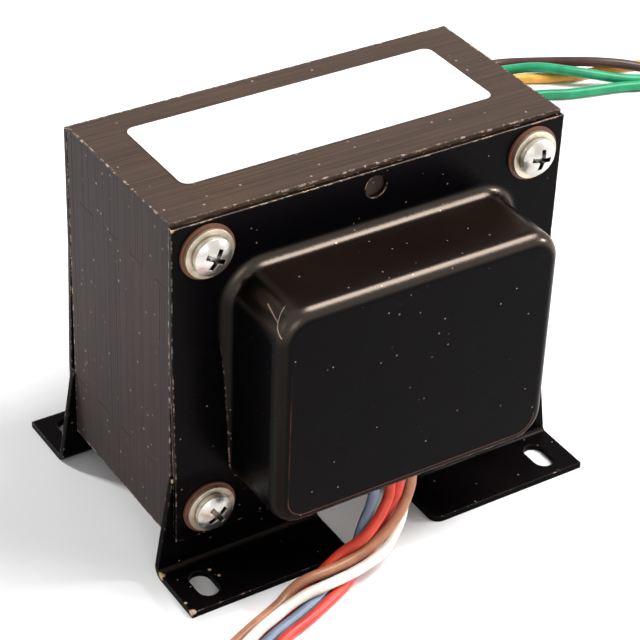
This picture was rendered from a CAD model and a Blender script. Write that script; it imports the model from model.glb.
# Looks of a laminated chassis transformer: a varnished sheet core, a wound coil, lacquered drawn
# end bells, folded feet, plated hardware, nine vinyl-insulated leads and a blank paper label.
import math

import bpy
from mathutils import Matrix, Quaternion, Vector


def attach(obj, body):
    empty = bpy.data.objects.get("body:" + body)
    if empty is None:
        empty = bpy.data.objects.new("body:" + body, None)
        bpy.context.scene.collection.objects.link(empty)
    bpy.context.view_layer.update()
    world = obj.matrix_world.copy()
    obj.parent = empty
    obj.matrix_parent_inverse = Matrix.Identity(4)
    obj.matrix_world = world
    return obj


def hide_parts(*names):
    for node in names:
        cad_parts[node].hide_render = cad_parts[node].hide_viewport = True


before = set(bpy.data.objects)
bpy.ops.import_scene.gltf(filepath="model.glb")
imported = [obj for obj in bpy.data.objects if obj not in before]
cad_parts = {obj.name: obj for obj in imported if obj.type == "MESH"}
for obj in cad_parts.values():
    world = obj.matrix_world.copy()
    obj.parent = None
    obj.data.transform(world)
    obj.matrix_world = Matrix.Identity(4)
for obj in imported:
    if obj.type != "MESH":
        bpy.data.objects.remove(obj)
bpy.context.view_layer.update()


# ---- Core: silicon steel sheets punched as E and I, half a millimetre thick. They are laid in
# groups that face up and down in turn, bolted through, and dipped in thin brown varnish.
MM = 0.001
CORE_LIFT, UNIT = 8.3, 15.875
CORE_HALF, CORE_TALL = 3 * UNIT, 5 * UNIT
CORE_MIDDLE = CORE_LIFT + CORE_TALL / 2
STACK, GROUPS, SHEETS_PER_GROUP = 43.6, 8, 11
SHEET_PITCH = STACK / GROUPS / SHEETS_PER_GROUP
VARNISH_FILM = 0.008
SHEET_THICKNESS = SHEET_PITCH - VARNISH_FILM
SHEET_SHIFT = 0.018
SHEET_INSET, JOINT_GAP = 0.07, 0.1
HOLE_RADIUS, HOLE_CORNERS = 2.8, 24
FLOAT, VECTOR = "NodeSocketFloat", "NodeSocketVector"


class Tree:
    """Adds nodes to a node tree. An input given as another node's output becomes a link."""

    def __init__(self, tree):
        self.tree = tree

    def add(self, kind, inputs=None, **settings):
        node = self.tree.nodes.new(kind)
        for key, value in settings.items():
            setattr(node, key, value)
        for key, value in (inputs or {}).items():
            self.put(node.inputs[key], value)
        return node

    def put(self, socket, value):
        if isinstance(value, bpy.types.NodeSocket):
            self.tree.links.new(value, socket)
        elif value is not None:
            socket.default_value = value

    def math(self, operation, a, b=None, clamp=False):
        node = self.add("ShaderNodeMath", {0: a, 1: b}, operation=operation, use_clamp=clamp)
        return node.outputs[0]

    def vector(self, operation, a, b=None, scale=None):
        """A vector sum. Returns the outputs by name: Vector, or Value for a length."""
        inputs = {0: a, 1: b, 3: scale}
        return self.add("ShaderNodeVectorMath", inputs, operation=operation).outputs

    def noise(self, vector, scale, detail=2.0, roughness=0.5):
        inputs = {"Vector": vector, "Scale": scale, "Detail": detail, "Roughness": roughness}
        return self.add("ShaderNodeTexNoise", inputs).outputs["Fac"]

    def step(self, value, low, high):
        """A soft step that is 0 at low and 1 at high."""
        node = self.add("ShaderNodeMapRange", {"Value": value, "From Min": low, "From Max": high})
        node.interpolation_type = "SMOOTHSTEP"
        return node.outputs["Result"]

    def mix(self, factor, a, b):
        node = self.add("ShaderNodeMix", data_type="RGBA")
        self.put(node.inputs["Factor"], factor)
        self.put(node.inputs[6], a)
        self.put(node.inputs[7], b)
        return node.outputs[2]

    def place(self, scale=(1, 1, 1)):
        """Object coordinates, in metres, stretched where wanted."""
        here = self.add("ShaderNodeTexCoord").outputs["Object"]
        if scale == (1, 1, 1):
            return here
        return self.add("ShaderNodeMapping", {"Vector": here, "Scale": scale}).outputs[0]

    def parts(self, vector):
        return self.add("ShaderNodeSeparateXYZ", {0: vector}).outputs

    def facing(self):
        """The three parts of the direction that the surface faces."""
        return self.parts(self.add("ShaderNodeNewGeometry").outputs["Normal"])


def rgb(r, g, b):
    return (r, g, b, 1.0)


def shader_group(name, inputs, outputs):
    """An empty shader group: the group, its tree writer, its given values and its results."""
    group = bpy.data.node_groups.new(name, "ShaderNodeTree")
    for label, kind, default in inputs:
        socket = group.interface.new_socket(name=label, in_out="INPUT", socket_type=kind)
        if default is not None:
            socket.default_value = default
    for label, kind in outputs:
        group.interface.new_socket(name=label, in_out="OUTPUT", socket_type=kind)
    tree = Tree(group)
    return group, tree, tree.add("NodeGroupInput").outputs, tree.add("NodeGroupOutput").inputs


def use(t, group, **inputs):
    """Places a shader group in a tree with its own values, and returns its outputs."""
    node = t.add("ShaderNodeGroup")
    node.node_tree = group
    for key, value in inputs.items():
        t.put(node.inputs[key.replace("_", " ")], value)
    return node.outputs


def material(name, **shader):
    """A material with one Principled shader. Returns it, its tree writer and the shader."""
    made = bpy.data.materials.new(name)
    made.use_nodes = True
    made.node_tree.nodes.clear()
    t = Tree(made.node_tree)
    bsdf = t.add("ShaderNodeBsdfPrincipled", {k.replace("_", " "): v for k, v in shader.items()})
    t.add("ShaderNodeOutputMaterial", {"Surface": bsdf.outputs[0]})
    return made, t, bsdf


def bump(t, bsdf, height, depth, normal=None):
    node = t.add("ShaderNodeBump", {"Height": height, "Distance": depth, "Normal": normal})
    t.put(bsdf.inputs["Normal"], node.outputs[0])


def make_dust():
    """Small pale specks of dust, strewn over every face and denser in clouds."""
    group, t, data, out = shader_group(
        "dust_specks", [("Amount", FLOAT, 0.5), ("Size", FLOAT, 1.0)], [("Mask", FLOAT)]
    )
    here = t.place()
    scale = t.math("DIVIDE", 700.0, data["Size"])
    cells = t.add("ShaderNodeTexVoronoi", {"Vector": here, "Scale": scale}).outputs
    dot = t.step(cells["Distance"], 0.2, 0.08)
    keep = t.add("ShaderNodeSeparateColor", {0: cells["Color"]}).outputs[0]
    limit = t.math("MULTIPLY", data["Amount"], t.noise(here, 60.0))
    chosen = t.math("LESS_THAN", keep, limit)
    t.put(out["Mask"], t.math("MULTIPLY", dot, chosen))
    return group


DUST = make_dust()


def core_rim(t, x, y, z):
    """A mask along the core's outer edges, where two of its faces meet."""
    near = 0.0
    for place, middle, half_side in (
        (x, 0.0, CORE_HALF), (y, 0.0, STACK / 2), (z, CORE_MIDDLE, CORE_TALL / 2)
    ):
        off = t.math("ABSOLUTE", t.math("SUBTRACT", place, middle * MM))
        near = t.math("ADD", near, t.step(off, (half_side - 0.7) * MM, (half_side - 0.15) * MM))
    return t.step(near, 1.3, 1.8)


def varnished_steel():
    """Cut sheet edges under thin brown varnish, each sheet in its own tone, darker at the sides."""
    made, t, bsdf = material("varnished_steel", Metallic=0.1, Specular_IOR_Level=0.08)
    here = t.place()
    x, y, z = t.parts(here)
    sheet = t.math("FLOOR", t.math("DIVIDE", y, SHEET_PITCH * MM))
    tone = t.add("ShaderNodeTexWhiteNoise", {"W": sheet}, noise_dimensions="1D").outputs["Value"]
    streaks = t.noise(t.place((40.0, 2200.0, 40.0)), 1.0, 4.0, 0.6)
    base = t.mix(t.step(streaks, 0.25, 0.75), rgb(0.043, 0.028, 0.021), rgb(0.074, 0.049, 0.037))
    base = t.mix(t.math("MULTIPLY", tone, 0.3), base, rgb(0.036, 0.026, 0.022))
    amber = t.step(t.noise(here, 45.0, 4.0, 0.6), 0.5, 0.75)
    base = t.mix(t.math("MULTIPLY", amber, 0.35), base, rgb(0.1, 0.055, 0.03))
    side = t.step(t.math("ABSOLUTE", t.facing()[0]), 0.4, 0.8)
    base = t.mix(t.math("MULTIPLY", side, 0.7), base, rgb(0.022, 0.018, 0.021))
    chipped = t.step(t.noise(here, 650.0, 4.0, 0.7), 0.5, 0.62)
    base = t.mix(t.math("MULTIPLY", core_rim(t, x, y, z), chipped), base, rgb(0.36, 0.27, 0.21))
    speck = use(t, DUST, Amount=0.3, Size=1.4)["Mask"]
    base = t.mix(t.math("MULTIPLY", speck, 0.6), base, rgb(0.4, 0.33, 0.28))
    t.put(bsdf.inputs["Base Color"], base)
    t.put(bsdf.inputs["Roughness"], t.math("ADD", 0.42, t.math("MULTIPLY", streaks, 0.25)))
    height = t.math("ADD", tone, t.math("MULTIPLY", streaks, 1.2))
    bump(t, bsdf, height, 0.00002)
    return made


CORE_STEEL = varnished_steel()


def punched_sheet(name, outline, holes):
    """One punched sheet, upright and centred on the core's middle, points in millimetres."""
    data = bpy.data.curves.new(name, "CURVE")
    data.dimensions = "2D"
    data.fill_mode = "BOTH"
    data.extrude = SHEET_THICKNESS / 2 * MM
    turns = [2 * math.pi * k / HOLE_CORNERS for k in range(HOLE_CORNERS)]
    rings = [outline]
    for x, y in holes:
        rings.append([(x + HOLE_RADIUS * math.cos(a), y + HOLE_RADIUS * math.sin(a)) for a in turns])
    for ring in rings:
        spline = data.splines.new("POLY")
        spline.points.add(len(ring) - 1)
        for point, (x, y) in zip(spline.points, ring):
            point.co = (x * MM, y * MM, 0, 1)
        spline.use_cyclic_u = True
    flat = bpy.data.objects.new(name, data)
    mesh = bpy.data.meshes.new_from_object(flat)
    for vertex in mesh.vertices:
        x, y, z = vertex.co
        vertex.co = (x, -z, y)
    bpy.data.objects.remove(flat)
    mesh.materials.clear()
    mesh.shade_flat()
    mesh.name = name
    return bpy.data.objects.new(name, mesh)


def sheet_stack_tree():
    """Geometry nodes: sheets in a row along Y, each group of them upside down in turn."""
    tree = bpy.data.node_groups.new("sheet_stack", "GeometryNodeTree")
    face = tree.interface
    face.new_socket(name="Geometry", in_out="OUTPUT", socket_type="NodeSocketGeometry")
    for label, kind in (
        ("Sheet", "NodeSocketObject"), ("Count", "NodeSocketInt"), ("Pitch", FLOAT),
        ("Start", VECTOR), ("Group size", "NodeSocketInt"), ("Shift", VECTOR),
        ("Seed", "NodeSocketInt"), ("Material", "NodeSocketMaterial"),
    ):
        face.new_socket(name=label, in_out="INPUT", socket_type=kind)
    t = Tree(tree)
    data = t.add("NodeGroupInput").outputs
    pitch = t.add("ShaderNodeCombineXYZ", {1: data["Pitch"]}).outputs[0]
    line = t.add("GeometryNodeMeshLine", {
        "Count": data["Count"], "Start Location": data["Start"], "Offset": pitch})
    low = t.vector("SCALE", data["Shift"], scale=-1.0)["Vector"]
    spread = t.add("FunctionNodeRandomValue", {"Seed": data["Seed"]}, data_type="FLOAT_VECTOR")
    t.put(spread.inputs[0], low)
    t.put(spread.inputs[1], data["Shift"])
    shaken = t.add("GeometryNodeSetPosition", {
        "Geometry": line.outputs[0], "Offset": spread.outputs[0]})
    index = t.add("GeometryNodeInputIndex").outputs[0]
    group = t.math("FLOOR", t.math("DIVIDE", index, data["Group size"]))
    odd = t.math("MULTIPLY", t.math("FLOORED_MODULO", group, 2.0), math.pi)
    turn = t.add("ShaderNodeCombineXYZ", {1: odd}).outputs[0]
    shape = t.add("GeometryNodeObjectInfo", {"Object": data["Sheet"]})
    many = t.add("GeometryNodeInstanceOnPoints", {
        "Points": shaken.outputs[0], "Instance": shape.outputs["Geometry"], "Rotation": turn})
    real = t.add("GeometryNodeRealizeInstances", {"Geometry": many.outputs[0]})
    clad = t.add("GeometryNodeSetMaterial", {
        "Geometry": real.outputs[0], "Material": data["Material"]})
    t.add("NodeGroupOutput", {"Geometry": clad.outputs[0]})
    return tree


def grown(name, tree, values):
    """The mesh that a geometry tree grows, as an object without the modifier."""
    holder = bpy.data.objects.new(name, bpy.data.meshes.new(name))
    bpy.context.scene.collection.objects.link(holder)
    modifier = holder.modifiers.new("grow", "NODES")
    modifier.node_group = tree
    for item in tree.interface.items_tree:
        if item.in_out == "INPUT" and item.name in values:
            modifier[item.identifier] = values[item.name]
    bpy.context.view_layer.update()
    ready = holder.evaluated_get(bpy.context.evaluated_depsgraph_get())
    mesh = bpy.data.meshes.new_from_object(ready)
    holder.modifiers.clear()
    holder.data = mesh
    mesh.name = name
    return holder


half, tall = CORE_HALF - SHEET_INSET, CORE_TALL / 2
hole_x, hole_z = CORE_HALF - UNIT / 2, 2 * UNIT
leg_top, yoke = tall - UNIT, -tall + UNIT
e_outline = [
    (-half, -tall + SHEET_INSET), (half, -tall + SHEET_INSET), (half, leg_top),
    (2 * UNIT, leg_top), (2 * UNIT, yoke), (UNIT, yoke), (UNIT, leg_top),
    (-UNIT, leg_top), (-UNIT, yoke), (-2 * UNIT, yoke), (-2 * UNIT, leg_top), (-half, leg_top),
]
i_outline = [
    (-half, leg_top + JOINT_GAP), (half, leg_top + JOINT_GAP),
    (half, tall - SHEET_INSET), (-half, tall - SHEET_INSET),
]
e_sheet = punched_sheet("e_sheet", e_outline, [(-hole_x, -hole_z), (hole_x, -hole_z)])
i_sheet = punched_sheet("i_sheet", i_outline, [(-hole_x, hole_z), (hole_x, hole_z)])
stack_tree = sheet_stack_tree()
first_sheet = (0.0, (-STACK / 2 + SHEET_PITCH / 2) * MM, CORE_MIDDLE * MM)
for name, sheet, node, seed in (
    ("e_sheets", e_sheet, "e_laminations", 4), ("i_sheets", i_sheet, "i_laminations", 9)
):
    stack = grown(name, stack_tree, {
        "Sheet": sheet, "Count": GROUPS * SHEETS_PER_GROUP, "Pitch": SHEET_PITCH * MM,
        "Start": first_sheet, "Group size": SHEETS_PER_GROUP,
        "Shift": (SHEET_SHIFT * MM, 0.0, SHEET_SHIFT * MM), "Seed": seed,
        "Material": CORE_STEEL,
    })
    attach(stack, "root")
    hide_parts(node)
bpy.data.objects.remove(e_sheet)
bpy.data.objects.remove(i_sheet)


# ---- Coil: enamelled copper wire in layers on a pressboard tube, with brown paper between the
# windings, round them and round the bolts. It is slid over the core's middle leg, and pads of
# cloth tape cover the joints between its wire and the leads.
def dress(made, *names):
    """Gives a material to CAD nodes, in the slots that they have."""
    for name in names:
        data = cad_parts[name].data
        if not data.materials:
            data.materials.append(made)
        for i in range(len(data.materials)):
            data.materials[i] = made


def grained(name, low, high, scale, stretch=(1, 1, 1), detail=5.0, rough=0.5, depth=0.0001, **shader):
    """A dull material whose colour and height follow one noise."""
    made, t, bsdf = material(name, **shader)
    grain = t.noise(t.place(stretch), scale, detail, rough)
    t.put(bsdf.inputs["Base Color"], t.mix(grain, low, high))
    bump(t, bsdf, grain, depth)
    return made


def board(name, low, high, scale):
    """Pressed paper whose fibres lie flat."""
    return grained(name, low, high, scale, (1, 1, 4), rough=0.6, Roughness=0.6, Coat_Weight=0.1)


def wire(name, low, high, pitch):
    """Enamelled wire, its turns one above another at the pitch in millimetres."""
    made, t, bsdf = material(name, Metallic=0.8, Roughness=0.3)
    z = t.parts(t.place())[2]
    wave = t.math("ABSOLUTE", t.math("SINE", t.math("MULTIPLY", z, math.pi / (pitch * MM))))
    cloud = t.noise(t.place(), 90.0, 3.0)
    t.put(bsdf.inputs["Base Color"], t.mix(t.math("MULTIPLY", wave, cloud), low, high))
    bump(t, bsdf, wave, 0.0002)
    return made


def cloth_tape(thread=0.6):
    """Woven cotton tape, its threads at the given pitch in millimetres."""
    made, t, bsdf = material("cloth_tape", Roughness=0.7)
    x, _, z = t.parts(t.place())
    across, along = (
        t.math("SINE", t.math("MULTIPLY", way, 2 * math.pi / (thread * MM))) for way in (x, z)
    )
    weave = t.math("MULTIPLY", across, along)
    t.put(bsdf.inputs["Base Color"], t.mix(weave, rgb(0.33, 0.26, 0.15), rgb(0.5, 0.42, 0.28)))
    bump(t, bsdf, weave, 0.0001)
    return made


dress(board("pressboard", rgb(0.3, 0.2, 0.1), rgb(0.45, 0.31, 0.17), 300.0), "coil_tube")
dress(board("kraft_wrap", rgb(0.25, 0.16, 0.08), rgb(0.4, 0.27, 0.14), 260.0),
      "winding_barrier", "outer_wrap", "bolt_sleeves")
dress(wire("fine_wire", rgb(0.3, 0.08, 0.02), rgb(0.75, 0.3, 0.1), 0.4), "primary_winding")
dress(wire("thick_wire", rgb(0.3, 0.09, 0.025), rgb(0.78, 0.34, 0.12), 0.9), "secondary_winding")
dress(cloth_tape(), "lead_pads")


# ---- Bells and feet: bells drawn and feet folded from steel sheet, dipped in gloss black
# lacquer. It runs thin and brown over the bends, and is worn through at cut edges and corners.
def make_edge_wear():
    """Worn sharp edges: where a rounded normal leaves the true one, broken up by noise."""
    group, t, data, out = shader_group(
        "edge_wear",
        [("Radius", FLOAT, 0.0004), ("Grain", FLOAT, 400.0), ("Amount", FLOAT, 0.5)],
        [("Mask", FLOAT), ("Normal", VECTOR)],
    )
    rounded = t.add("ShaderNodeBevel", {"Radius": data["Radius"]}, samples=6).outputs[0]
    true = t.add("ShaderNodeNewGeometry").outputs["Normal"]
    edge = t.step(t.vector("DOT_PRODUCT", rounded, true)["Value"], 0.995, 0.9)
    grain = t.noise(t.place(), data["Grain"], 4.0, 0.7)
    limit = t.math("SUBTRACT", 1.0, data["Amount"])
    worn = t.step(grain, limit, t.math("ADD", limit, 0.12))
    t.put(out["Mask"], t.math("MULTIPLY", edge, worn))
    t.put(out["Normal"], rounded)
    return group


def make_ripple():
    """A bump height of uneven lacquer, plating or vinyl: broad waves with fine grain on them."""
    group, t, data, out = shader_group(
        "surface_ripple",
        [("Broad", FLOAT, 60.0), ("Fine", FLOAT, 900.0), ("Fine share", FLOAT, 0.3)],
        [("Height", FLOAT)],
    )
    here = t.place()
    broad = t.noise(here, data["Broad"], 1.0)
    fine = t.noise(here, data["Fine"], 3.0)
    share = t.math("MULTIPLY", fine, data["Fine share"])
    t.put(out["Height"], t.math("ADD", broad, share))
    return group


def make_thin_film():
    """Where lacquer has run thin: over the bends, and most of all over the upper ones."""
    group, t, data, out = shader_group(
        "thin_film",
        [("Normal", VECTOR, None), ("Strength", FLOAT, 1.0), ("Low share", FLOAT, 0.2)],
        [("Mask", FLOAT)],
    )
    facing = t.parts(data["Normal"])
    x, y, z = (t.math("ABSOLUTE", part) for part in facing)
    flat = t.step(t.math("MAXIMUM", x, t.math("MAXIMUM", y, z)), 0.89, 0.995)
    upper = t.step(facing[2], -0.05, 0.45)
    rest = t.math("SUBTRACT", 1.0, data["Low share"])
    share = t.math("ADD", data["Low share"], t.math("MULTIPLY", upper, rest))
    bend = t.math("MULTIPLY", t.math("SUBTRACT", 1.0, flat), share)
    t.put(out["Mask"], t.math("MULTIPLY", bend, data["Strength"]))
    return group


def make_chip():
    """A spot of bare metal with a ragged rim. Its centre and size are in metres."""
    group, t, data, out = shader_group(
        "chip", [("Centre", VECTOR, None), ("Size", FLOAT, 0.001)], [("Mask", FLOAT)]
    )
    here = t.place()
    off = t.vector("DISTANCE", here, data["Centre"])["Value"]
    ragged = t.math("MULTIPLY", t.noise(here, 900.0, 3.0, 0.7), data["Size"])
    outside = t.math("MULTIPLY", data["Size"], 1.1)
    inside = t.math("MULTIPLY", data["Size"], 0.8)
    t.put(out["Mask"], t.step(t.math("ADD", off, ragged), outside, inside))
    return group


def make_lip_line():
    """Bare brown steel where the drawing die pinched the dome: along the edge of its flat
    front face, down the left side and at the bottom. Sizes are in metres."""
    group, t, data, out = shader_group(
        "lip_line",
        [("Half width", FLOAT, 0.03145), ("Half height", FLOAT, 0.024), ("Radius", FLOAT, 0.0045),
         ("Middle", FLOAT, 0.0461), ("Width", FLOAT, 0.00013), ("Front", FLOAT, 0.0415),
         ("Left", FLOAT, -0.026), ("Bottom", FLOAT, 0.0266), ("Fade from", FLOAT, 0.064),
         ("Fade to", FLOAT, 0.036)],
        [("Mask", FLOAT)],
    )
    here = t.place()
    x, y, z = t.parts(here)

    def past(place, middle, half_side):
        """How far a place lies beyond the straight part of a side, squared."""
        off = t.math("ABSOLUTE", t.math("SUBTRACT", place, middle))
        inset = t.math("ADD", t.math("SUBTRACT", off, half_side), data["Radius"])
        return t.math("POWER", t.math("MAXIMUM", inset, 0.0), 2.0)

    reach = t.math("SQRT", t.math(
        "ADD", past(x, 0.0, data["Half width"]), past(z, data["Middle"], data["Half height"])))
    off = t.math("ABSOLUTE", t.math("SUBTRACT", reach, data["Radius"]))
    wobble = t.math("MULTIPLY", t.noise(here, 260.0, 3.0), data["Width"])
    line = t.step(t.math("SUBTRACT", off, wobble), data["Width"], 0.0)
    front = t.math("GREATER_THAN", t.math("ABSOLUTE", y), data["Front"])
    left = t.math("LESS_THAN", x, data["Left"])
    left = t.math("MULTIPLY", left, t.step(z, data["Fade from"], data["Fade to"]))
    left = t.math("MULTIPLY", left, t.step(t.noise(here, 120.0, 2.0), 0.25, 0.7))
    low = t.math("LESS_THAN", z, data["Bottom"])
    shown = t.math("MULTIPLY", t.math("MULTIPLY", line, front), t.math("MAXIMUM", left, low))
    t.put(out["Mask"], shown)
    return group


WEAR, RIPPLE = make_edge_wear(), make_ripple()
THIN_FILM, CHIP, LIP_LINE = make_thin_film(), make_chip(), make_lip_line()
SCRATCH_WIDTH, SCRATCHED_WALL = 0.13, -29.0


def scratch(t, here, start, end):
    """A thin line on the left wall of the front dome, from and to a depth and a height."""
    a, b = Vector((0, *start)) * MM, Vector((0, *end)) * MM
    flat = t.vector("MULTIPLY", here, (0, 1, 1))["Vector"]
    from_start = t.vector("SUBTRACT", flat, a)["Vector"]
    dot = t.vector("DOT_PRODUCT", from_start, b - a)["Value"]
    along = t.math("DIVIDE", dot, (b - a).length_squared, clamp=True)
    foot = t.vector("SCALE", b - a, scale=along)["Vector"]
    off = t.vector("DISTANCE", from_start, foot)["Value"]
    left = t.math("LESS_THAN", t.parts(here)[0], SCRATCHED_WALL * MM)
    line = t.step(off, SCRATCH_WIDTH * MM, SCRATCH_WIDTH / 2 * MM)
    return t.math("MULTIPLY", left, line)


def lacquer(name, brown, gloss, wear, bends, lip=False, chips=(), scratches=()):
    """Black lacquer. brown is the cast of its upward faces, gloss its specular level, wear the
    share of bare edges, and bends how far the metal shines through at the bends."""
    made, t, bsdf = material(name, Specular_IOR_Level=gloss)
    bsdf.inputs["Specular Tint"].default_value = rgb(1.0, 0.9, 0.86)
    here = t.place()
    cloud = t.noise(here, 35.0, 3.0)
    upward = t.step(t.facing()[2], 0.05, 0.9)
    cast = t.math("MULTIPLY", upward, t.math("MULTIPLY", cloud, 2.0 * brown))
    base = t.mix(cast, rgb(0.0017, 0.0014, 0.0019), rgb(0.022, 0.012, 0.0075))
    worn = use(t, WEAR, Radius=0.0005, Grain=420.0, Amount=wear)
    thin = use(t, THIN_FILM, Normal=worn["Normal"], Strength=bends)["Mask"]
    base = t.mix(thin, base, rgb(0.048, 0.039, 0.032))
    t.put(bsdf.inputs["Metallic"], t.math("SUBTRACT", thin, worn["Mask"], clamp=True))
    base = t.mix(worn["Mask"], base, rgb(0.42, 0.29, 0.21))
    rust = t.mix(t.noise(here, 1500.0, 3.0), rgb(0.22, 0.11, 0.04), rgb(0.75, 0.58, 0.38))
    for centre, size in chips:
        spot = use(t, CHIP, Centre=[c * MM for c in centre], Size=size * MM)["Mask"]
        base = t.mix(spot, base, rust)
    for start, end in scratches:
        base = t.mix(scratch(t, here, start, end), base, rgb(0.45, 0.33, 0.26))
    if lip:
        base = t.mix(use(t, LIP_LINE)["Mask"], base, rgb(0.09, 0.03, 0.02))
    speck = use(t, DUST, Amount=0.13, Size=0.9)["Mask"]
    base = t.mix(t.math("MULTIPLY", speck, 0.5), base, rgb(0.5, 0.36, 0.28))
    t.put(bsdf.inputs["Base Color"], base)
    t.put(bsdf.inputs["Roughness"], t.math("ADD", 0.2, t.math("MULTIPLY", cloud, 0.14)))
    ripple = use(t, RIPPLE, Broad=90.0, Fine=1100.0, Fine_share=0.18)["Height"]
    bump(t, bsdf, ripple, 0.00012, worn["Normal"])
    return made


BELL_CHIPS = [((-47.5, -23, 86.6), 0.9), ((-26.5, -24.5, 18.1), 0.9), ((-47.5, -24.2, 77), 0.4)]
FOOT_CHIPS = [
    ((-47.8, -23.3, 25.2), 1.2), ((-51.2, -24.4, 1.4), 1.6), ((-51.2, -37.6, 1.5), 1.9),
    ((-50.9, -34.5, 1.5), 0.7), ((-40.5, -30.4, 1.5), 0.8), ((-41.3, -27.8, 1.5), 0.7),
]
BELL_SCRATCHES = [
    ((-33.9, 71.1), (-39.3, 70.1)), ((-37.7, 72.2), (-39.6, 69.7)), ((-39.6, 69.7), (-41.6, 67.9)),
]
bell_lacquer = lacquer(
    "bell_lacquer", brown=0.35, gloss=0.04, wear=0.52, bends=1.0, lip=True, chips=BELL_CHIPS,
    scratches=BELL_SCRATCHES,
)
foot_lacquer = lacquer(
    "foot_lacquer", brown=0.05, gloss=0.02, wear=0.44, bends=0.25, chips=FOOT_CHIPS
)
dress(bell_lacquer, "front_bell", "rear_bell")
dress(foot_lacquer, "front_foot", "rear_foot")


# ---- Hardware: zinc-plated pan head screws run through the core from the front, each on a flat
# washer and a red-brown fibre one, and plain hexagon nuts hold them on the rear bell.
def plated(name, colour, roughness, yellow):
    """Zinc plating with a yellow share, dark grime in the corners and soft edges."""
    made, t, bsdf = material(name, Metallic=1.0, Roughness=roughness)
    cloud = t.noise(t.place(), 320.0, 4.0)
    base = t.mix(t.step(cloud, 0.4, 0.75), colour, rgb(0.42, 0.33, 0.22))
    base = t.mix(1.0 - yellow, base, colour)
    open_air = t.add("ShaderNodeAmbientOcclusion", {"Distance": 0.0015}, samples=8)
    grime = t.step(open_air.outputs["AO"], 0.75, 0.3)
    t.put(bsdf.inputs["Base Color"], t.mix(grime, base, rgb(0.02, 0.014, 0.01)))
    t.put(bsdf.inputs["Roughness"], t.math("ADD", roughness, t.math("MULTIPLY", cloud, 0.2)))
    worn = use(t, WEAR, Radius=0.0002)
    bump(t, bsdf, use(t, RIPPLE, Broad=500.0, Fine=2600.0)["Height"], 0.00012, worn["Normal"])
    return made


dress(plated("screw_zinc", rgb(0.6, 0.58, 0.54), 0.2, 0.3), "bolts", "nuts")
dress(plated("washer_zinc", rgb(0.64, 0.57, 0.46), 0.3, 0.7), "flat_washers")
fibre = grained(
    "fibre", rgb(0.07, 0.022, 0.01), rgb(0.17, 0.065, 0.03), 700.0, detail=4.0, Roughness=0.55
)
dress(fibre, "fibre_washers")


# ---- Leads: stranded copper in vinyl tube, limp, 2.4 mm at the front and 3 mm at the rear.
# They leave the tape pads, or the coil itself, through the mouth under each bell, and their
# far stretch is stored in a small coil held by a wire tie.
def vinyl(name, colour, roughness=0.32, stripe=None):
    """Coloured vinyl tube with faint handling marks and, where wanted, a stripe along it."""
    made, t, bsdf = material(name, Roughness=roughness, Specular_IOR_Level=0.3)
    cloud = t.noise(t.place(), 180.0, 3.0)
    darker = rgb(*(0.72 * c for c in colour[:3]))
    skin = t.mix(t.step(cloud, 0.35, 0.7), darker, colour)
    if stripe:
        around = t.parts(t.add("ShaderNodeTexCoord").outputs["UV"])[1]
        off = t.math("ABSOLUTE", t.math("SUBTRACT", around, 0.5))
        wave = t.math("MULTIPLY", t.math("SUBTRACT", cloud, 0.5), 0.03)
        skin = t.mix(t.step(t.math("ADD", off, wave), 0.1, 0.08), skin, stripe)
    t.put(bsdf.inputs["Base Color"], skin)
    t.put(bsdf.inputs["Roughness"], t.math("ADD", t.math("MULTIPLY", cloud, 0.2), roughness - 0.1))
    bump(t, bsdf, use(t, RIPPLE, Broad=220.0, Fine=1800.0)["Height"], 0.00006)
    return made


def tinned_strands():
    """Twisted copper strands dipped in solder."""
    made, t, bsdf = material("tinned_strands", Metallic=1.0, Roughness=0.35)
    bsdf.inputs["Base Color"].default_value = rgb(0.62, 0.6, 0.57)
    bump(t, bsdf, use(t, RIPPLE, Broad=900.0, Fine=2500.0)["Height"], 0.0002)
    return made


TINNED = tinned_strands()
TIP_LENGTH, TIP_ROOT = 6.0, 0.5
STEPS_A_TURN, CLIMB_FROM, CLIMB_OVER = 24, 290.0, 60.0


def round_coil(centre, radius, entry, turns, way, low, high):
    """Points of a stored coil from its entry angle on. way is 1 counter-clockwise, -1 clockwise.
    The first turn lies low, and the rest climbs on top of it."""
    points = []
    for i in range(1, int(turns * STEPS_A_TURN) + 1):
        turned = 360.0 * i / STEPS_A_TURN
        climb = min(1.0, max(0.0, (turned - CLIMB_FROM) / CLIMB_OVER))
        climb = climb * climb * (3 - 2 * climb)
        angle = math.radians(entry + way * turned)
        x, y = centre[0] + radius * math.cos(angle), centre[1] + radius * math.sin(angle)
        points.append((x, y, low + (high - low) * climb))
    return points


def smooth(points, pieces=4):
    """Points along a smooth line through the given ones."""
    out = []
    for i in range(len(points) - 1):
        p0, p1 = Vector(points[max(i - 1, 0)]), Vector(points[i])
        p2, p3 = Vector(points[i + 1]), Vector(points[min(i + 2, len(points) - 1)])
        for k in range(pieces):
            s = k / pieces
            out.append(
                0.5 * (2 * p1 + (p2 - p0) * s + (2 * p0 - 5 * p1 + 4 * p2 - p3) * s * s
                       + (3 * p1 - p0 - 3 * p2 + p3) * s ** 3)
            )
    out.append(Vector(points[-1]))
    return out


def tube(name, points, diameter, made, roundness=6):
    """A round tube as a curve with one open spline, points in millimetres."""
    data = bpy.data.curves.new(name, "CURVE")
    data.dimensions = "3D"
    data.bevel_depth = diameter / 2 * MM
    data.bevel_resolution = roundness
    data.use_fill_caps = True
    spline = data.splines.new("POLY")
    spline.points.add(len(points) - 1)
    for point, place in zip(spline.points, points):
        point.co = (*(Vector(place) * MM), 1)
    spline.use_smooth = True
    data.materials.append(made)
    made_object = bpy.data.objects.new(name, data)
    bpy.context.scene.collection.objects.link(made_object)
    return made_object


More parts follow.
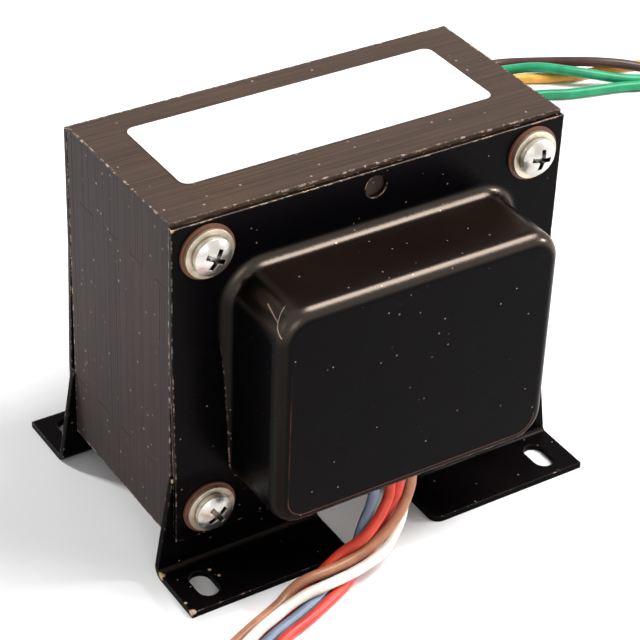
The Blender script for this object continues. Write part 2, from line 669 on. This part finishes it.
def lead(name, node, coil_node, route, coil, diameter, made):
    """One lead along its route and into its stored coil, with a bare tinned tip."""
    points = smooth(list(route) + round_coil(**coil))
    cord = tube(name, points, diameter, made)
    heading = (points[-1] - points[-2]).normalized()
    tip_ends = [points[-1] - heading * TIP_ROOT, points[-1] + heading * TIP_LENGTH]
    tip = tube(name + "_tip", tip_ends, diameter / 2, TINNED)
    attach(tip, "root")
    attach(cord, "root")
    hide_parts(node, coil_node)


FRONT_LEAD, REAR_LEAD = 2.4, 3.0
FRONT_COIL, REAR_COIL = (-57, -73), (195, 78)


def front_coil(radius, turns):
    return dict(centre=FRONT_COIL, radius=radius, entry=115, turns=turns, way=1, low=1.8, high=4.25)


def rear_coil(radius, turns):
    return dict(centre=REAR_COIL, radius=radius, entry=62, turns=turns, way=-1, low=2.1, high=5.15)


# Centre lines from the coil of wire to the stored coils, in millimetres
red_route = [
    (-4.5, -38.9, 38), (-4.5, -38.9, 33), (-4.4, -39.1, 28), (-4.2, -39.6, 22.5),
    (-3.9, -40.1, 17.5), (-5.4, -40.9, 14.4), (-8.3, -41.8, 11.2), (-11.8, -42.1, 8.2),
    (-16.4, -40.7, 4.8), (-20.5, -41.2, 2.8), (-24.4, -42.2, 1.5), (-27.5, -44.3, 1.3),
    (-31, -46.3, 1.3), (-36, -48, 1.3), (-41, -49.9, 1.3), (-46.5, -52.1, 1.3), (-52, -54.5, 1.3),
    (-58, -56.9, 1.4), (-63.6, -58.9, 1.8),
]
second_red_route = [
    (-1.6, -38.9, 38), (-1.6, -38.9, 33), (-1.6, -39.1, 28), (-1.6, -39.5, 22.5),
    (-1.5, -39.9, 17.5), (-2.4, -39.6, 13.5), (-4.4, -39.2, 9.5), (-6.1, -39.3, 5.6),
    (-8.4, -40.4, 2.6), (-11.6, -42, 1.4), (-15.2, -44.2, 1.3), (-19.6, -46.9, 1.3),
    (-25.9, -49.6, 1.3), (-31.8, -51.9, 1.3), (-38.2, -54, 1.3), (-44, -57, 1.3),
    (-49.5, -59.8, 1.3), (-55, -62.6, 1.4), (-60.4, -65.5, 1.8),
]
brown_route = [
    (1.5, -38.9, 38), (1.5, -38.9, 33), (1.6, -39.1, 28), (1.6, -39.5, 22.5),
    (1.6, -40, 17), (-0.5, -40.9, 12.5), (-2.9, -41.6, 10), (-6, -42.1, 7.5),
    (-9.5, -42.5, 5.7), (-13.6, -42.9, 4.6), (-17.5, -43.2, 4.2), (-21.5, -43.3, 4.1),
    (-25, -43.2, 4), (-28, -43, 3.3), (-31, -43.4, 2.1), (-34, -44.6, 1.4),
    (-38, -46.1, 1.3), (-43.5, -48.1, 1.3),
    (-49.5, -50.7, 1.3), (-56, -53.4, 1.4), (-64.6, -56.7, 1.8),
]
white_route = [
    (1.8, -34.6, 27), (1.8, -34.7, 23.5), (1.8, -35.3, 19.5), (1.7, -36.5, 15.5),
    (1.3, -38, 12), (0.2, -39.6, 9.2), (-2.4, -41.6, 7), (-6.8, -44.1, 4.8),
    (-11.3, -45.5, 4.3), (-15.5, -46.2, 4), (-19.6, -46.6, 3.9), (-24.1, -46.8, 3.8),
    (-28.8, -47, 3.7), (-33.7, -48, 3.5), (-38.2, -49.6, 3.5), (-42.4, -51.2, 3.6),
    (-47, -53.4, 3.6), (-52.5, -56.1, 3.5), (-57.5, -58.7, 3.3), (-62.5, -61.1, 2.2),
]
blue_route = [
    (-7.4, -38.9, 38), (-7.4, -38.9, 33), (-7.4, -39, 28), (-7.4, -39.4, 22.5),
    (-7.7, -39.6, 17.5), (-8.6, -39.6, 13.5), (-9.9, -39.5, 10), (-11.2, -39.8, 6.5),
    (-13, -40.6, 3), (-16.5, -41.8, 1.5), (-20.3, -44, 1.3), (-25.4, -46.8, 1.3),
    (-30, -48.7, 1.3), (-34.5, -50.3, 1.3), (-40, -52.1, 1.3), (-45.5, -54.6, 1.3),
    (-51, -57.3, 1.3), (-56.5, -60.3, 1.4), (-61.5, -63.3, 1.8),
]
black_route = [
    (-7, 38.9, 38), (-7, 38.9, 31), (-7, 39, 25), (-6.8, 39.7, 18.5), (-6, 42.8, 12.2),
    (-4.2, 47.2, 7), (-1.2, 53, 3.5), (3.5, 60, 1.9), (10, 67.5, 1.6), (18, 75.5, 1.6),
    (27, 83.5, 1.6), (36.5, 91.5, 1.6), (46.5, 99, 1.6), (57, 106, 1.6), (68, 112.5, 1.6),
    (79.5, 118.5, 1.6), (91.5, 123.5, 1.6), (104, 127.5, 1.6), (116.5, 130, 1.6),
    (128.5, 131.3, 1.6), (140, 130.8, 1.6), (150, 128.4, 1.8), (158.6, 122, 3.1),
    (168.2, 113.7, 4.7), (176.7, 107.9, 4.7), (183.5, 104, 3.5), (190, 100.5, 2),
    (196.8, 97.2, 1.7), (203.4, 93.9, 2.1),
]
striped_route = [
    (-3, 38.9, 38), (-3, 38.9, 31), (-3, 39, 25), (-2.8, 39.7, 18.5), (-2, 42.8, 12.2),
    (-0.2, 47, 7), (3, 52.5, 3.5), (7.8, 59, 1.9), (14.5, 66.2, 1.6), (22, 73.5, 1.6),
    (30.5, 81, 1.6), (39.5, 88.3, 1.6), (49.5, 95.3, 1.6), (60, 102, 1.6), (70.5, 108, 1.6),
    (82, 113.8, 1.6), (93.5, 118.7, 1.6), (105, 122.7, 1.6), (116.5, 125.4, 1.6),
    (127, 126.8, 1.6), (136.5, 126.8, 1.6), (143.5, 125.3, 1.8), (148.8, 122.6, 2.8),
    (154.5, 117, 4.7), (161.5, 110.4, 4.8), (168.8, 105.6, 3.7), (175.8, 102.4, 2.3),
    (182, 99.8, 1.7), (188.5, 97.2, 1.6), (195.5, 94.3, 1.7), (202, 91.2, 2.1),
]
yellow_route = [
    (1, 38.9, 38), (1, 38.9, 31), (1, 39, 25), (1.2, 39.7, 18.5), (1.9, 42.8, 12.2),
    (4, 46.8, 7), (7.6, 52, 3.5), (12.8, 58.2, 1.9), (19.5, 65, 1.6), (27, 72, 1.6),
    (35.5, 79, 1.6), (44.5, 86, 1.6), (54, 92.3, 1.6), (64.5, 98.7, 1.6), (75.5, 104.5, 1.6),
    (86.5, 109.7, 1.6), (98, 114.3, 1.6), (109.5, 117.8, 1.6), (120.5, 120, 1.6),
    (131, 121, 1.6), (141, 120.5, 1.6), (150, 118, 1.6), (156.5, 114.8, 1.6),
    (163, 112.4, 1.6), (170, 111.2, 1.6), (178, 110.4, 1.6), (186, 108.4, 1.6),
    (193, 104.8, 1.6), (199.3, 100.6, 1.7), (204.8, 96.5, 2.1),
]
green_route = [
    (5, 38.9, 38), (5, 38.9, 31), (5, 39, 25), (5.3, 39.7, 18.5), (6.2, 42.6, 12.2),
    (8.8, 46.2, 7), (13, 50.8, 3.5), (19, 56.2, 1.9), (26.5, 62, 1.6), (35, 68, 1.6),
    (44.5, 74.3, 1.6), (54.5, 80.5, 1.6), (65, 86.3, 1.6), (76, 91.8, 1.6), (87.5, 97, 1.6),
    (99, 101.6, 1.6), (110.5, 105.4, 1.6), (121.5, 108, 1.6), (132, 109.3, 1.6),
    (141.5, 109.2, 1.6), (149.5, 107.1, 1.6), (155.5, 104.3, 1.6), (160.5, 102.8, 1.6),
    (166.5, 101.4, 1.6), (172.5, 99.9, 1.6), (178.3, 97.8, 1.6), (186, 95, 1.6),
    (193.5, 92, 1.7), (200.6, 88.6, 2.1),
]
# Each lead's name, route, radius and turns of its stored coil, and colours
front_leads = [
    ("red", red_route, 15.6, 1.02, rgb(0.68, 0.06, 0.03)),
    ("second_red", second_red_route, 8.4, 1.9, rgb(0.7, 0.06, 0.04)),
    ("brown", brown_route, 18, 0.88, rgb(0.46, 0.2, 0.11)),
    ("white", white_route, 13.2, 1.21, rgb(0.84, 0.8, 0.7)),
    ("blue", blue_route, 10.8, 1.47, rgb(0.2, 0.26, 0.36)),
]
rear_leads = [
    ("black", black_route, 18, 0.84, rgb(0.07, 0.035, 0.03), None),
    ("striped", striped_route, 15, 1.0, rgb(0.02, 0.3, 0.14), rgb(0.85, 0.68, 0.2)),
    ("yellow", yellow_route, 21, 0.72, rgb(0.82, 0.4, 0.06), None),
    ("green", green_route, 12, 1.26, rgb(0.015, 0.28, 0.12), None),
]
for name, route, radius, turns, colour in front_leads:
    lead(name + "_lead", "lead_" + name, "front_lead_coil", route, front_coil(radius, turns),
         FRONT_LEAD, vinyl(name + "_vinyl", colour))
for name, route, radius, turns, colour, stripe in rear_leads:
    lead(name + "_lead", "lead_" + name, "rear_lead_coil", route, rear_coil(radius, turns),
         REAR_LEAD, vinyl(name + "_vinyl", colour, stripe=stripe))


# ---- Wire ties: thin steel wire between two strips of paper, bent once round each stored coil
# by hand, the way loose leads are held together for the shelf.
TIE_THICKNESS, TIE_LOW = 0.5, 0.35


def tie(name, centre, angle, inner, outer, top):
    """A square loop that stands across a stored coil, from its inner to its outer side."""
    a = math.radians(angle)
    out = Vector((math.cos(a), math.sin(a), 0))
    middle = Vector((*centre, 0))
    corners = [(inner, TIE_LOW), (outer, TIE_LOW), (outer, top), (inner, top), (inner, TIE_LOW)]
    loop = [middle + out * r + Vector((0, 0, z)) for r, z in corners]
    piece = tube(name, loop, TIE_THICKNESS, vinyl(name + "_paper", rgb(0.86, 0.85, 0.82), 0.6), 3)
    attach(piece, "root")


tie("front_tie", FRONT_COIL, 250, inner=7.0, outer=19.6, top=5.75)
tie("rear_tie", REAR_COIL, 250, inner=10.1, outer=22.8, top=6.95)


# ---- Label: blank white paper with rounded corners, gummed on the back and pressed on top of the
# core across the sheet edges.
label_paper = grained(
    "label_paper", rgb(0.86, 0.855, 0.84), rgb(0.93, 0.925, 0.91), 500.0, depth=0.00002,
    Roughness=0.45,
)
dress(label_paper, "label")


# ---- Stage: a pale floor and a white world that stay white to the eye and in reflections, five
# square lamps, and a long lens half a metre away, above and to the left of the front bell.
FLOOR_HALF = 3.0
FLOOR_FADE = 0.25, 0.8
WORLD_LIGHT = 0.3


def seen_rays(t):
    """1 for the rays that show the background: those of the camera, glass and reflections."""
    path = t.add("ShaderNodeLightPath").outputs
    seen = t.math("MAXIMUM", path["Is Camera Ray"], path["Is Transmission Ray"])
    return t.math("MAXIMUM", seen, path["Is Glossy Ray"])


def floor():
    """A square floor that keeps the object's shadow and fades to plain white further away."""
    h = FLOOR_HALF
    mesh = bpy.data.meshes.new("floor")
    mesh.from_pydata([(-h, -h, 0), (h, -h, 0), (h, h, 0), (-h, h, 0)], [], [(0, 1, 2, 3)])
    made, t, bsdf = material("floor_white", Roughness=0.9)
    bsdf.inputs["Base Color"].default_value = rgb(0.9, 0.9, 0.9)
    away = t.vector("LENGTH", t.place())["Value"]
    white = t.add("ShaderNodeEmission", {"Color": rgb(1, 1, 1), "Strength": 1.0})
    fade = t.math("MULTIPLY", seen_rays(t), t.step(away, *FLOOR_FADE))
    both = t.add("ShaderNodeMixShader", {0: fade, 1: bsdf.outputs[0], 2: white.outputs[0]})
    t.put(t.tree.nodes["Material Output"].inputs["Surface"], both.outputs[0])
    mesh.materials.append(made)
    ground = bpy.data.objects.new("floor", mesh)
    bpy.context.scene.collection.objects.link(ground)


floor()


def lamp(name, place, target, size, power, colour=(1, 1, 1)):
    """A square lamp at a place in metres, turned to its target."""
    data = bpy.data.lights.new(name, "AREA")
    data.shape = "SQUARE"
    data.size = size
    data.energy = power
    data.color = colour
    made = bpy.data.objects.new(name, data)
    made.location = place
    aim = Vector(place) - Vector(target)
    made.rotation_mode = "QUATERNION"
    made.rotation_quaternion = aim.to_track_quat("Z", "Y")
    bpy.context.scene.collection.objects.link(made)


# The main light from above on the right, a faint one from the left, two small ones that draw
# the bright points at the back and on the right, and a low one for the front.
lamp("top_softbox", (0.47, -0.17, 0.87), (0, 0, 0.05), 0.5, 13.0)
lamp("left_softbox", (-0.8, 0.0, 0.5), (0, 0, 0.05), 0.4, 0.5, (1.0, 0.93, 0.95))
lamp("rear_spark", (-0.45, 0.8, 0.47), (0, 0, 0.07), 0.12, 9.0)
lamp("right_spark", (0.88, -0.45, 0.33), (0, 0, 0.07), 0.1, 5.0)
lamp("front_softbox", (-0.3, -0.85, 0.4), (0, -0.04, 0.01), 0.4, 1.6)


def pale_world():
    """White where it is seen and dimmer as a light."""
    world = bpy.data.worlds.new("pale_world")
    world.use_nodes = True
    world.node_tree.nodes.clear()
    t = Tree(world.node_tree)
    more = t.math("MULTIPLY", seen_rays(t), 1.0 - WORLD_LIGHT)
    strength = t.math("ADD", WORLD_LIGHT, more)
    sky = t.add("ShaderNodeBackground", {"Color": rgb(1, 1, 1), "Strength": strength})
    t.add("ShaderNodeOutputWorld", {"Surface": sky.outputs[0]})
    bpy.context.scene.world = world


pale_world()


def aim_camera(place, azimuth, elevation, roll, lens):
    """A camera that looks along the azimuth, 0 being +Y, and down by the elevation."""
    data = bpy.data.cameras.new("main_camera")
    data.lens = lens
    data.sensor_width = 36
    data.clip_start = 0.01
    camera = bpy.data.objects.new("main_camera", data)
    bpy.context.scene.collection.objects.link(camera)
    a, e = math.radians(azimuth), math.radians(elevation)
    back = Vector((math.sin(a) * math.cos(e), -math.cos(a) * math.cos(e), math.sin(e)))
    turn = Quaternion((0, 0, 1), math.radians(roll))
    camera.rotation_mode = "QUATERNION"
    camera.rotation_quaternion = back.to_track_quat("Z", "Y") @ turn
    camera.location = place
    bpy.context.scene.camera = camera


aim_camera(
    (-0.22235, -0.34066, 0.31697), azimuth=-33.465, elevation=34.630, roll=2.362, lens=124.76
)
bpy.context.scene.view_settings.view_transform = "Standard"
